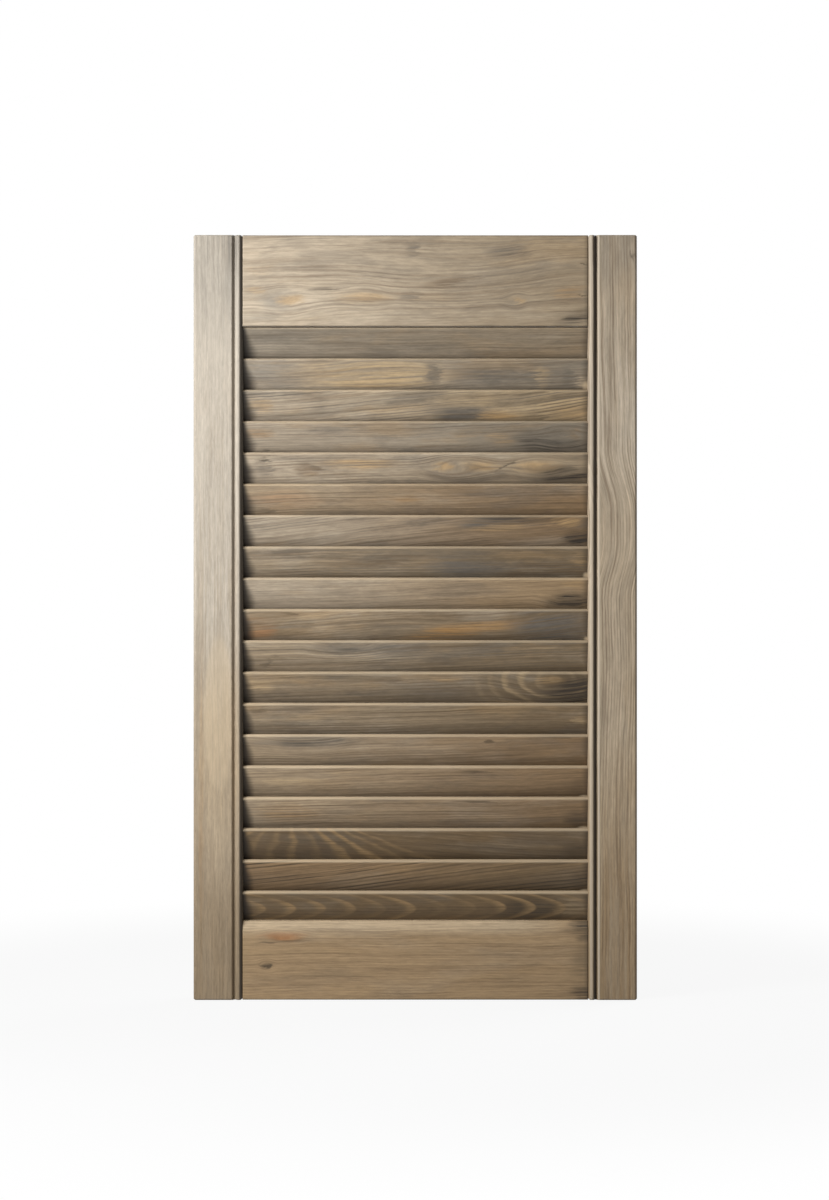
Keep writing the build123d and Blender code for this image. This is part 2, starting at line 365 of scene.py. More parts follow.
MARK_SHARES = {
    "top_rail": [
        Mark("grey", 0.11, 0.27, 0.07, 0.12),
        Mark("amber", 0.14, 0.28, 0.05, 0.07, 0.4),
        Mark("amber", 0.04, 0.39, 0.03, 0.05, 0.3),
        Mark("dark", 0.24, 0.41, 0.05, 0.025, 0.5),
        Mark("amber", 0.36, 0.31, 0.09, 0.08, 0.35),
        Mark("slate", 0.49, 0.83, 0.03, 0.09),
        Mark("slate", 0.49, 0.33, 0.03, 0.07),
        Mark("grey", 0.06, 0.10, 0.07, 0.07),
        Mark("brown", 0.60, 0.49, 0.11, 0.05, 0.4, 0.18),
        Mark("slate", 0.77, 0.82, 0.07, 0.10),
        Mark("orange", 0.95, 0.37, 0.06, 0.08, 0.35),
        Mark("amber", 0.80, 0.28, 0.025, 0.05, 0.35),
        Mark("dark", 0.97, 0.10, 0.07, 0.09, 0.7, 0.3),
        Mark("dark", 0.986, 0.34, 0.008, 0.025, 0.7),
        Mark("dark", 0.988, 0.68, 0.008, 0.025, 0.7),
    ],
    "bottom_rail": [
        Mark("russet", 0.115, 0.81, 0.07, 0.09, 0.8),
        Mark("dark", 0.11, 0.735, 0.10, 0.014, 0.5, 0.06),
        Mark("dark", 0.07, 0.43, 0.018, 0.05, 0.6),
        Mark("dark", 0.995, 0.90, 0.06, 0.18, 0.8),
        Mark("drab", 0.99, 0.45, 0.04, 0.55, 0.6),
        Mark("dark", 0.995, 0.08, 0.06, 0.12, 0.6),
    ],
    "left_stile": [
        # Painted light: a broad paler mark in the stile's middle
        Mark("pale_painted_light", 0.62, 0.50, 0.30, 1.50, 0.6),
        Mark("orange", 0.30, 0.84, 0.35, 0.05, 0.25),
        Mark("tan", 0.34, 0.44, 0.14, 0.62, 0.35),
        Mark("wear_and_highlight", 0.27, 0.48, 0.160, 0.34, 0.20, 0.0, 0.30),
        Mark("grey", 0.98, 0.40, 0.12, 1.00, 0.45),
        Mark("slate", 0.985, 0.15, 0.04, 0.25, 0.4),
        Mark("drab", 0.03, 0.50, 0.16, 1.50, 0.4),
    ],
    "right_stile": [
        Mark("slate", 0.98, 0.50, 0.06, 1.00, 0.3),
        # Painted light: a broad paler mark high on the stile
        Mark("pale_painted_light", 0.78, 0.50, 0.12, 1.50, 0.3),
        Mark("dark", 0.974, 0.10, 0.008, 0.08),
        Mark("bark", 0.04, 0.50, 0.25, 1.50, 0.55),
        Mark("oat", 0.42, 0.50, 0.14, 1.50, 0.4),
    ],
    "slat_02": [
        Mark("grey", 0.10, 0.52, 0.14, 0.60, 0.6),
        Mark("tan", 0.37, 0.50, 0.25, 0.80, 0.75),
        Mark("slate", 0.55, 0.55, 0.03, 0.45, 0.6),
        Mark("slate", 0.72, 0.50, 0.14, 0.40, 0.6),
        Mark("tan", 0.87, 0.45, 0.02, 0.40),
        Mark("slate", 0.94, 0.45, 0.03, 0.35),
        Mark("wear_and_highlight", 0.985, 0.24, 0.02, 0.30, 0.4),
    ],
    "slat_03": [
        Mark("amber", 0.05, 0.53, 0.04, 0.35, 0.4),
        Mark("slate", 0.23, 0.34, 0.04, 0.18),
        Mark("slate", 0.63, 0.25, 0.12, 0.35, 0.7),
        Mark("amber", 0.74, 0.18, 0.07, 0.22, 0.7),
        Mark("dark", 0.84, 0.15, 0.050, 0.16, 0.3, 0.10),
        Mark("amber", 0.95, 0.34, 0.06, 0.25),
    ],
    "slat_04": [
        Mark("orange", 0.05, 0.64, 0.045, 0.20),
        Mark("dark", 0.06, 0.05, 0.015, 0.12),
        Mark("amber", 0.75, 0.50, 0.05, 0.30),
        Mark("slate", 0.88, 0.40, 0.10, 0.45, 0.6),
        Mark("dark", 0.83, 0.50, 0.05, 0.20, 0.5),
        Mark("dark", 0.87, 0.20, 0.10, 0.25, 0.6),
        Mark("orange", 0.965, 0.61, 0.02, 0.20, 0.6),
        Mark("dark", 0.98, 0.25, 0.05, 0.25, 0.6),
    ],
    "slat_05": [
        Mark("slate", 0.055, 0.45, 0.035, 0.35),
        Mark("dark", 0.07, 0.83, 0.014, 0.12, 0.6),
        Mark("brown", 0.19, 0.51, 0.04, 0.25),
        Mark("amber", 0.34, 0.67, 0.12, 0.20),
        Mark("amber", 0.58, 0.58, 0.035, 0.20),
        Mark("amber", 0.69, 0.58, 0.06, 0.20),
        Mark("amber", 0.855, 0.58, 0.07, 0.22),
        Mark("dark", 0.754, 0.56, 0.035, 0.07, 0.5, 0.6),
        Mark("dark", 0.94, 0.30, 0.11, 0.32, 0.85),
    ],
    "slat_06": [
        Mark("dark", 0.06, 0.15, 0.04, 0.12),
        Mark("russet", 0.12, 0.50, 0.12, 0.35, 0.35),
        Mark("orange", 0.455, 0.55, 0.08, 0.12, 0.3),
        Mark("slate", 0.74, 0.74, 0.15, 0.15),
    ],
    "slat_07": [
        Mark("slate", 0.74, 0.80, 0.13, 0.30, 0.8, 0.06),
        Mark("amber", 0.74, 0.62, 0.10, 0.16, 0.5, 0.08),
        Mark("dark", 0.80, 0.92, 0.12, 0.12, 0.6),
        Mark("amber", 0.94, 0.80, 0.045, 0.20, 0.7),
        Mark("dark", 0.97, 0.30, 0.05, 0.35, 0.8),
    ],
    "slat_08": [
        Mark("brown", 0.335, 0.46, 0.19, 0.09),
        Mark("slate", 0.65, 0.40, 0.14, 0.60, 0.65),
        Mark("amber", 0.975, 0.60, 0.03, 0.25, 0.4),
    ],
    "slat_09": [
        Mark("amber", 0.96, 0.84, 0.04, 0.10, 0.6),
        Mark("dark", 0.955, 0.30, 0.08, 0.34, 0.8),
    ],
    "slat_10": [
        Mark("dark", 0.136, 0.88, 0.04, 0.06),
        Mark("drab", 0.080, 0.40, 0.14, 0.80, 0.6),
        Mark("russet", 0.040, 0.34, 0.06, 0.50, 0.5),
        Mark("orange", 0.575, 0.16, 0.11, 0.34, 1.0, 0.10),
        Mark("orange", 0.73, 0.52, 0.15, 0.26, 0.5, 0.10),
        Mark("slate", 0.90, 0.50, 0.14, 0.80, 0.85),
    ],
    "slat_11": [
        Mark("dark", 0.07, 0.34, 0.025, 0.10, 0.5, 0.8),
        Mark("dark", 0.31, 0.73, 0.045, 0.06),
        Mark("slate", 0.35, 0.80, 0.20, 0.22, 0.4),
        Mark("slate", 0.70, 0.65, 0.15, 0.30, 0.25),
    ],
    "slat_12": [
        Mark("tan", 0.055, 0.55, 0.04, 0.30, 0.4),
        Mark("brown", 0.43, 0.79, 0.06, 0.12),
        Mark("amber", 0.59, 0.78, 0.055, 0.11),
        Mark("amber", 0.90, 0.77, 0.045, 0.17, 0.8),
        Mark("slate", 0.55, 0.40, 0.16, 0.50, 0.4),
        Mark("dark", 0.965, 0.38, 0.11, 0.70, 0.85),
    ],
    "slat_13": [
        Mark("dark", 0.05, 0.83, 0.03, 0.09),
        Mark("tan", 0.977, 0.44, 0.03, 0.15),
    ],
    "slat_14": [
        Mark("slate", 0.20, 0.80, 0.17, 0.28, 0.7),
        Mark("dark", 0.17, 0.74, 0.08, 0.12, 0.25),
        Mark("dark", 0.717, 0.815, 0.017, 0.07),
        Mark("dark", 0.925, 1.0, 0.08, 0.09, 0.4),
    ],
    "slat_15": [
        Mark("tan", 0.133, 0.52, 0.10, 0.20),
        Mark("dark", 0.668, 0.834, 0.05, 0.05),
        Mark("dark", 0.98, 0.30, 0.04, 0.40, 0.4),
    ],
    "slat_16": [
        Mark("orange", 0.127, 0.49, 0.11, 0.30, 0.4),
        Mark("dark", 0.679, 0.876, 0.08, 0.05),
        Mark("dark", 0.975, 0.30, 0.05, 0.40, 0.5),
    ],
    "slat_17": [
        Mark("dark", 0.17, 0.45, 0.17, 0.70, 0.36),
        Mark("dark", 0.97, 0.30, 0.05, 0.40, 0.4),
    ],
    "slat_18": [
        Mark("dark", 0.985, 0.30, 0.04, 0.40, 0.4),
    ],
    "slat_19": [
        Mark("dark", 0.84, 0.45, 0.12, 0.60, 0.55),
        Mark("tan", 0.955, 0.50, 0.05, 0.35, 0.5),
    ],
}

# Where the stain has come off cleanly: an arch on the left stile. At the slats' ends, painted highlights
# where the stile's lit inner side shows between the slats
ARCH_AND_GLINT_SHARES = {
    "left_stile": [Mark("wear_and_highlight", 0.375, 0.48, 0.088, 0.27, 0.28, 0.0, 1.0)],
    "slat_02": [Mark("wear_and_highlight", 0.994, 0.16, 0.010, 0.18, 0.6)],
    "slat_08": [Mark("wear_and_highlight", 0.996, 0.10, 0.010, 0.12, 0.8)],
    "slat_10": [Mark("wear_and_highlight", 0.997, 0.06, 0.008, 0.10, 0.8)],
    "slat_15": [Mark("wear_and_highlight", 0.990, 0.03, 0.016, 0.06, 0.8)],
    "slat_16": [Mark("wear_and_highlight", 0.988, 0.03, 0.018, 0.06, 0.8)],
    "slat_18": [Mark("wear_and_highlight", 0.992, 0.03, 0.014, 0.05, 0.6)],
}

# Bold ring figures: the centre's share along and across, the rings' spacing along and across, and their count
Figure = namedtuple("Figure", "group tone along across size count strength")

FIGURE_SHARES = {
    "slat_12": Figure(RINGS, "tan", 0.905, 0.80, (0.0140, 0.0080), 6.0, 0.75),
    "slat_17": Figure(FAN, "amber", 0.135, 1.85, (0.0170, 0.0380), 6.5, 0.9),
}

# Where the grain swirls: place and half size as for the marks, how far the grain is lifted to one side,
# and how far it is spread to both sides, as round a knot
Swirl = namedtuple("Swirl", "along across length height lift spread", defaults=(0.0,))

SWIRL_SHARES = {
    "top_rail": [
        Swirl(0.13, 0.28, 0.09, 0.20, 0.0, 0.5),
        Swirl(0.36, 0.31, 0.08, 0.16, 0.0, 0.5),
        Swirl(0.79, 0.29, 0.04, 0.12, 0.0, 0.8),
        Swirl(0.62, 0.55, 0.30, 0.40, 0.006),
    ],
    "bottom_rail": [Swirl(0.12, 0.80, 0.08, 0.12, 0.0, 0.9), Swirl(0.07, 0.43, 0.03, 0.10, 0.0, 0.9)],
    "right_stile": [Swirl(0.62, 0.40, 0.08, 1.60, 0.010), Swirl(0.50, 0.40, 0.20, 1.60, 0.003)],
    "slat_02": [Swirl(0.42, 0.45, 0.20, 0.70, 0.0, 0.4)],
    "slat_03": [Swirl(0.80, 0.10, 0.20, 0.90, 0.004)],
    "slat_04": [Swirl(0.93, 0.55, 0.08, 0.60, 0.0, 0.5)],
    "slat_05": [Swirl(0.62, 0.55, 0.12, 0.50, 0.0, 0.9), Swirl(0.86, 0.58, 0.10, 0.40, 0.0, 0.8)],
    "slat_07": [Swirl(0.85, 0.75, 0.18, 0.60, 0.006)],
    "slat_09": [Swirl(0.95, 0.35, 0.10, 0.60, 0.004, 0.5)],
    "slat_10": [Swirl(0.70, 0.50, 0.25, 0.60, 0.004)],
    "slat_11": [Swirl(0.30, 0.75, 0.12, 0.50, 0.004)],
    "slat_12": [Swirl(0.90, 0.80, 0.17, 1.20, 0.010)],
    "slat_14": [Swirl(0.18, 0.75, 0.14, 0.50, 0.004)],
}

# How each board looks: its tone at the left or lower end and at the other, its shade, its rings' spacing,
# rise to the right, wave and lean along the board, where their pith lies as a share of the width and a depth,
# the lines' contrast and tone, and how uneven, porous and streaky the stain is
Look = namedtuple("Look", "near far shade spacing rise wave lean pith contrast line uneven pores streak")


def look(near, far, shade=1.0, spacing=0.0024, rise=0.0, wave=0.004, lean=0.02, pith=(1.6, -0.02),
         contrast=0.6, line="brown", uneven=1.0, pores=0.30, streak=0.24):
    """A board's look, where what isn't given is as on most slats."""
    return Look(near, far, shade, spacing, rise, wave, lean, pith, contrast, line, uneven, pores, streak)


LOOKS = {
    # The left stile's upper end is paler and greyer: painted light and sheen
    "left_stile": look("fawn", "pale_painted_light", shade=0.94, spacing=0.0034, wave=0.003, lean=0.004, contrast=0.12,
                       line="slate", uneven=0.25, pores=0.06, streak=0.07),
    "right_stile": look("fawn", "oat", shade=1.26, spacing=0.0024, wave=0.005, lean=0.01, contrast=0.72,
                        uneven=0.4, pores=0.45),
    "top_rail": look("oat", "umber", shade=1.13, spacing=0.0030, rise=0.03, wave=0.005, contrast=0.34,
                     line="slate", uneven=0.6, streak=0.15),
    "bottom_rail": look("honey", "honey", shade=0.97, rise=0.01, contrast=0.3, uneven=0.35, streak=0.15),
    "slat_01": look("taupe", "umber", shade=0.86, contrast=0.3, line="slate", uneven=0.7, streak=0.18),
    "slat_02": look("oat", "taupe", shade=0.98, rise=0.03, contrast=0.3, line="slate"),
    "slat_03": look("oat", "tan", shade=0.93, rise=0.08, contrast=0.7, line="slate",
                    pores=0.45, streak=0.30),
    "slat_04": look("oat", "taupe", shade=0.91, rise=0.03, contrast=0.3, line="slate", streak=0.20),
    "slat_05": look("oat", "umber", shade=1.12, rise=0.02),
    "slat_06": look("fawn", "walnut", shade=1.04, rise=0.02, contrast=0.5, uneven=0.8),
    "slat_07": look("oat", "walnut", rise=0.10, line="slate"),
    "slat_08": look("umber", "drab", shade=1.02, rise=0.01, contrast=0.7, line="slate",
                    pores=0.5, streak=0.30),
    "slat_09": look("oat", "honey", shade=1.0, rise=0.02, contrast=0.4, uneven=0.7),
    "slat_10": look("umber", "drab", shade=1.15, rise=0.06),
    "slat_11": look("umber", "drab", shade=1.13, rise=0.03, line="slate", pores=0.4, streak=0.28),
    "slat_12": look("umber", "drab", shade=0.98, rise=0.03, spacing=0.0030, streak=0.28),
    "slat_13": look("umber", "drab", shade=1.12, rise=0.01, contrast=0.5, uneven=0.8, pores=0.4, streak=0.28),
    "slat_14": look("fawn", "walnut", shade=1.09, rise=0.02, contrast=0.5, uneven=0.6),
    "slat_15": look("fawn", "walnut", shade=1.10, rise=0.02, contrast=0.6, uneven=0.6),
    "slat_16": look("fawn", "walnut", shade=1.08, rise=0.02, contrast=0.6, uneven=0.6),
    "slat_17": look("bark", "bark", shade=0.93, rise=-0.06, contrast=0.5, uneven=0.5, pores=0.4),
    "slat_18": look("walnut", "bark", shade=1.14, rise=0.12, spacing=0.0032, contrast=0.95, line="dark",
                    uneven=0.4, pores=0.5, streak=0.30),
    "slat_19": look("bark", "bark", shade=0.88, spacing=0.0012, lean=0.0442, pith=(0.05, -0.0634),
                    contrast=0.75, line="amber", uneven=0.5, pores=0.4),
}

# Bands along the stiles, by the distance from the inner edge: painted shade on the bead's shaded flank, in
# the quirk and on the arris, and painted highlight on the bead's crest and the quirk's far edge
Band = namedtuple("Band", "tone from_edge half_width strength")

STILE_SHADE_AND_HIGHLIGHT_BANDS = {
    "left_stile": (
        Band("dark", 0.0012, 0.0020, 0.9),
        Band("dark", 0.0082, 0.0010, 0.3),
    ),
    "right_stile": (
        Band("pale", 0.0026, 0.0018, 0.5),
        Band("pale", 0.0096, 0.0012, 0.7),
        Band("dark", 0.0060, 0.0021, 0.95),
        Band("dark", 0.0436, 0.0022, 0.5),
    ),
}
BAND_CORE_SHARE = 0.4
BAND_FRONT_DEPTH = 0.002

# Painted shade low on the slats, for the highest slat and the lowest; stain at the ends of slats and rails;
# and the left stile's painted shadow on the slats' left ends
SLAT_LOW_SHADE_SHARES = (0.30, 0.80)
SLAT_LOW_SHADE_STRENGTHS = (0.38, 0.52)
END_STAIN_REACH = 0.005
END_STAIN_STRENGTH = 0.8
SHADOW_WEDGE_TOP_REACH = 0.005
SHADOW_WEDGE_BOTTOM_REACH = 0.019
SHADOW_WEDGE_FADES_SHARES = (0.1, 1.0)
SHADOW_WEDGE_STRENGTH = 0.95
RAIL_EDGE_STAIN_WIDTH = 0.0022
RAIL_EDGE_STAIN_STRENGTH = 0.35

# Wear and painted highlight on the slats' upper edges, for the highest slat and the lowest,
# and on the bottom rail's bevel
EDGE_WEAR_AND_HIGHLIGHT_WIDTHS = (0.0014, 0.0028)
EDGE_WEAR_AND_HIGHLIGHT_STRENGTHS = (0.25, 0.6)
EDGE_WEAR_AND_HIGHLIGHT_FULL_SHARE = 0.25
BEVEL_WEAR_AND_HIGHLIGHT_WIDTH = 0.016
BEVEL_WEAR_AND_HIGHLIGHT_FULL_SHARE = 1 / 3
BEVEL_WEAR_AND_HIGHLIGHT_FADE = 0.070
BEVEL_WEAR_AND_HIGHLIGHT_STRENGTH = 0.55

# How the marks wander and fray, in metres, and how the fibres break them up
MARK_WANDER_REPEATS = (45.0, 130.0, 130.0)
MARK_WANDER_SEED = 3.0
MARK_WANDER_ALONG = 0.020
MARK_WANDER_ACROSS = 0.006
MARK_FRAY_ALONG = 0.030
MARK_FIBRE_LEVELS = (0.38, 0.60)
MARK_FIBRE_STRENGTHS = (0.25, 1.4)
SPOT_FRONT_DEPTH = 0.001

# Fine streaks and hairs over the colour, and the surface that they leave
STREAK_LEVELS = (0.25, 0.75)
HAIR_LEVELS = (0.25, 0.75)
HAIR_SHADES = (0.84, 1.14)
GLOSS_LEVELS = (0.2, 0.8)
ROUGHNESSES = (0.64, 0.48)
SPECULAR = 0.35
BUMP_LINE_SHARE = 0.6
BUMP_FIBRE_SHARE = 0.4
BUMP_RING_SHARE = 0.5
BUMP_STRENGTH = 0.5
BUMP_DISTANCE = 0.00012
FIRST_SEED = 0.3
SEED_STEP = 1.7


class Board:
    """A board's own axes: along its grain, across its face and out of its face, from its middle."""

    def __init__(self, name):
        self.name = name
        low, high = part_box(name)
        self.centre = (low + high) / 2
        size = high - low
        if name.endswith("stile"):
            self.axes = (Vector((0, 0, 1)), Vector((-1, 0, 0)), Vector((0, -1, 0)))
            self.length, self.width, self.thickness = size.z, size.x, size.y
            self.visible_length, self.visible_bottom = self.length, -self.width / 2
        else:
            tilt = SLAT_TILT if name in SLATS else 0.0
            up = Vector((0, -math.sin(tilt), math.cos(tilt)))
            self.axes = (Vector((1, 0, 0)), up, Vector((1, 0, 0)).cross(up))
            self.length, self.width, self.thickness = size.x, size.z, size.y
            self.visible_length = OPENING_WIDTH
            self.visible_bottom = -self.width / 2
            if name in SLATS:
                self.width = self.slat_width(size.z)
                self.thickness = SLAT_THICKNESS
                self.visible_bottom = self.width / 2 - SLAT_PITCH / math.cos(tilt)
        self.visible_top = self.width / 2
        self.face = self.visible_top - self.visible_bottom

    def slat_width(self, height):
        """A tilted slat's width from its height, less the rounding of its edges."""
        rounding = 2 * SLAT_EDGE_RADIUS
        core = height - rounding - (SLAT_THICKNESS - rounding) * math.sin(SLAT_TILT)
        return core / math.cos(SLAT_TILT) + rounding

    def turn(self):
        """The rotation from the row frame to the board's axes."""
        return Matrix(self.axes).transposed().to_euler()

    def place(self, along_share, across_share):
        """A point on the visible face, from shares of it."""
        along = (along_share - 0.5) * self.visible_length
        across = self.visible_bottom + across_share * self.face
        return (along, across, 0.0)

    def size(self, along_share, across_share):
        """A half size on the visible face, from shares of it."""
        return (along_share * self.visible_length, across_share * self.face, 1.0)


def board_place(graph, board):
    """The point on the board in the board's own axes."""
    point = graph.add("ShaderNodeTexCoord").outputs["Object"]
    mapping = graph.add("ShaderNodeMapping", vector_type="TEXTURE")
    graph.put(mapping.inputs["Vector"], point)
    graph.put(mapping.inputs["Location"], board.centre)
    graph.put(mapping.inputs["Rotation"], board.turn())
    return mapping.outputs[0]


def mark_share(graph, board, place, mark):
    """How much of a mark lies at the place."""
    return graph.group(
        MARK,
        place=place,
        centre=board.place(mark.along, mark.across),
        size=board.size(mark.length, mark.height),
        slope=mark.slope,
        core=mark.core,
    )["Share"]


def swirled(graph, board, place):
    """The board's place with the grain bent where it swirls."""
    bent = place
    for swirl in SWIRL_SHARES.get(board.name, []):
        centre = board.place(swirl.along, swirl.across)
        size = board.size(swirl.length, swirl.height)
        share = graph.group(MARK, place=place, centre=centre, size=size, core=SOFT_CORE_SHARE)["Share"]
        above = graph.math("SUBTRACT", graph.parts(place)[1], centre[1])
        push = graph.math("SUBTRACT", swirl.lift, graph.math("MULTIPLY", above, swirl.spread))
        bent = graph.vector("ADD", bent, graph.join(0.0, graph.math("MULTIPLY", share, push), 0.0))
    return bent


def marked(graph, board, place, grain, color):
    """The board's colour with its marks, broken up along the fibres."""
    # The marks' edges wander, and run out along the fibres
    wander_noise = graph.noise(place, MARK_WANDER_REPEATS, MARK_WANDER_SEED)
    wander = graph.math("SUBTRACT", wander_noise, NOISE_MIDDLE)
    fray = graph.math("MULTIPLY", graph.math("SUBTRACT", grain["Fibre"], NOISE_MIDDLE), MARK_FRAY_ALONG)
    fibrous = graph.step(grain["Line"], *MARK_FIBRE_LEVELS, *MARK_FIBRE_STRENGTHS)
    along = graph.math("ADD", graph.math("MULTIPLY", wander, MARK_WANDER_ALONG), fray)
    across = graph.math("MULTIPLY", wander, MARK_WANDER_ACROSS)
    ragged = graph.vector("ADD", place, graph.join(along, across, 0.0))
    for mark in MARK_SHARES.get(board.name, []):
        strength = graph.math("MULTIPLY", fibrous, mark.strength)
        share = graph.math("MULTIPLY", mark_share(graph, board, ragged, mark), strength, clamp=True)
        color = graph.mix(share, color, TONES[mark.tone])
    return color


def with_arch_and_glints(graph, board, place, color):
    """The board's colour with its clean arch and painted highlights, on the front only."""
    front = graph.step(graph.parts(place)[2], 0.0, SPOT_FRONT_DEPTH)
    for spot in ARCH_AND_GLINT_SHARES.get(board.name, []):
        strength = graph.math("MULTIPLY", front, spot.strength)
        share = graph.math("MULTIPLY", mark_share(graph, board, place, spot), strength)
        color = graph.mix(share, color, TONES[spot.tone])
    return color


def figured(graph, board, place, color):
    """The board's colour with its bold rings, if it has any."""
    figure = FIGURE_SHARES.get(board.name)
    if figure is None:
        return color
    share = graph.group(
        figure.group,
        place=place,
        centre=board.place(figure.along, figure.across),
        size=(*figure.size, 1.0),
        count=figure.count,
    )["Share"]
    return graph.mix(graph.math("MULTIPLY", share, figure.strength), color, TONES[figure.tone])


def for_slat(board, values):
    """The slat's own value, between the highest slat's and the lowest's."""
    highest, lowest = values
    lower_share = SLATS.index(board.name) / (len(SLATS) - 1)
    return highest + (lowest - highest) * lower_share


def slat_shade_and_stain(graph, board, place, fibre):
    """Painted shade low on the face, the stile's painted shadow at the left end, stain at the right end."""
    along, across = graph.parts(place)[:2]
    # Painted shade, darkest at the face's lower edge, where the next slat overlaps it
    shade_top = board.visible_bottom + for_slat(board, SLAT_LOW_SHADE_SHARES) * board.face
    low = graph.step(across, board.visible_bottom, shade_top, for_slat(board, SLAT_LOW_SHADE_STRENGTHS), 0.0)
    half = board.visible_length / 2
    # The left stile's painted shadow: a wedge at the slat's left end, wider at the lower edge, which lies
    # deeper
    reach = graph.step(across, board.visible_bottom, board.visible_top, SHADOW_WEDGE_BOTTOM_REACH, SHADOW_WEDGE_TOP_REACH)
    inset = graph.math("DIVIDE", graph.math("ADD", along, half), reach)
    shadow_wedge = graph.step(inset, *SHADOW_WEDGE_FADES_SHARES, low=SHADOW_WEDGE_STRENGTH, high=0.0)
    ragged = graph.math("ADD", along, graph.math("MULTIPLY", fibre, END_STAIN_REACH))
    right = graph.step(ragged, half - END_STAIN_REACH, half + END_STAIN_REACH, high=END_STAIN_STRENGTH)
    return graph.math("MAXIMUM", graph.math("MAXIMUM", low, shadow_wedge), right)


def edge_wear_and_highlight(graph, board, place):
    """Paler wood along a slat's upper edge, part wear and part painted highlight, more on the lower slats."""
    across = graph.parts(place)[1]
    top = board.visible_top
    width = for_slat(board, EDGE_WEAR_AND_HIGHLIGHT_WIDTHS)
    strength = for_slat(board, EDGE_WEAR_AND_HIGHLIGHT_STRENGTHS)
    return graph.step(across, top - width, top - width * EDGE_WEAR_AND_HIGHLIGHT_FULL_SHARE, high=strength)


def bevel_wear_and_highlight(graph, board, place):
    """Paler wood along the bottom rail's bevel, part wear and part painted highlight, fading out below it
    and towards the rail's right end.
    """
    along, across = graph.parts(place)[:2]
    start = board.visible_top - BEVEL_WEAR_AND_HIGHLIGHT_WIDTH
    full = board.visible_top - BEVEL_WEAR_AND_HIGHLIGHT_WIDTH * BEVEL_WEAR_AND_HIGHLIGHT_FULL_SHARE
    wear_and_highlight = graph.step(across, start, full, high=BEVEL_WEAR_AND_HIGHLIGHT_STRENGTH)
    end = board.visible_length / 2
    return graph.math("MULTIPLY", wear_and_highlight, graph.step(along, end - BEVEL_WEAR_AND_HIGHLIGHT_FADE, end, low=1.0, high=0.0))


def with_painted_light_bands(graph, board, place, color):
    """The stile's colour with its bands of painted shade and highlight, on the front only."""
    across, depth = graph.parts(place)[1:]
    inward = -1.0 if board.name.startswith("left") else 1.0
    from_edge = graph.math("SUBTRACT", board.width / 2, graph.math("MULTIPLY", across, inward))
    front = graph.step(depth, 0.0, BAND_FRONT_DEPTH)
    for band in STILE_SHADE_AND_HIGHLIGHT_BANDS[board.name]:
        offset = graph.math("ABSOLUTE", graph.math("SUBTRACT", from_edge, band.from_edge))
        core = BAND_CORE_SHARE * band.half_width
        share = graph.step(offset, core, band.half_width, low=band.strength, high=0.0)
        color = graph.mix(graph.math("MULTIPLY", share, front), color, TONES[band.tone])
    return color


def rail_stain(graph, board, place, fibre):
    """A little stain along a rail's outer edge and at its right end."""
    along, across = graph.parts(place)[:2]
    half = board.width / 2
    outward = graph.math("MULTIPLY", across, 1.0 if board.name == "top_rail" else -1.0)
    edge = graph.step(outward, half - RAIL_EDGE_STAIN_WIDTH, half, high=RAIL_EDGE_STAIN_STRENGTH)
    end = board.visible_length / 2
    ragged = graph.math("ADD", along, graph.math("MULTIPLY", fibre, END_STAIN_REACH))
    right = graph.step(ragged, end - END_STAIN_REACH / 2, end + END_STAIN_REACH, high=END_STAIN_STRENGTH)
    return graph.math("MAXIMUM", edge, right)


def board_grain(graph, board, place, chosen, seed):
    """The grain's outputs for one board."""
    pith_share, pith_depth = chosen.pith
    return graph.group(
        GRAIN,
        board=swirled(graph, board, place),
        seed=seed,
        spacing=chosen.spacing,
        rise=chosen.rise,
        wave=chosen.wave,
        lean=chosen.lean,
        pith_across=pith_share * board.width,
        pith_depth=pith_depth,
    )


def streaked(graph, chosen, grain, color):
    """The colour with streaks and hairs along the grain, at the board's shade."""
    low = chosen.shade * (1.0 - chosen.streak)
    high = chosen.shade * (1.0 + chosen.streak)
    streak = graph.step(grain["Line"], *STREAK_LEVELS, low, high)
    color = graph.mix(1.0, color, graph.join(streak, streak, streak), "MULTIPLY")
    hair = graph.step(grain["Fibre"], *HAIR_LEVELS, *HAIR_SHADES)
    return graph.mix(1.0, color, graph.join(hair, hair, hair), "MULTIPLY")


def put_surface(graph, shader, grain):
    """A satin surface, with the relief of the grain."""
    graph.put(shader.inputs["Roughness"], graph.step(grain["Line"], *GLOSS_LEVELS, *ROUGHNESSES))
    graph.put(shader.inputs["Specular IOR Level"], SPECULAR)
    lines = graph.math("MULTIPLY", grain["Line"], BUMP_LINE_SHARE)
    fibres = graph.math("MULTIPLY", grain["Fibre"], BUMP_FIBRE_SHARE)
    rings = graph.math("MULTIPLY", grain["Late"], BUMP_RING_SHARE)
    relief = graph.math("SUBTRACT", graph.math("ADD", lines, fibres), rings)
    bump = graph.add("ShaderNodeBump")
    graph.put(bump.inputs["Strength"], BUMP_STRENGTH)
    graph.put(bump.inputs["Distance"], BUMP_DISTANCE)
    graph.put(bump.inputs["Height"], relief)
    graph.put(shader.inputs["Normal"], bump.outputs[0])


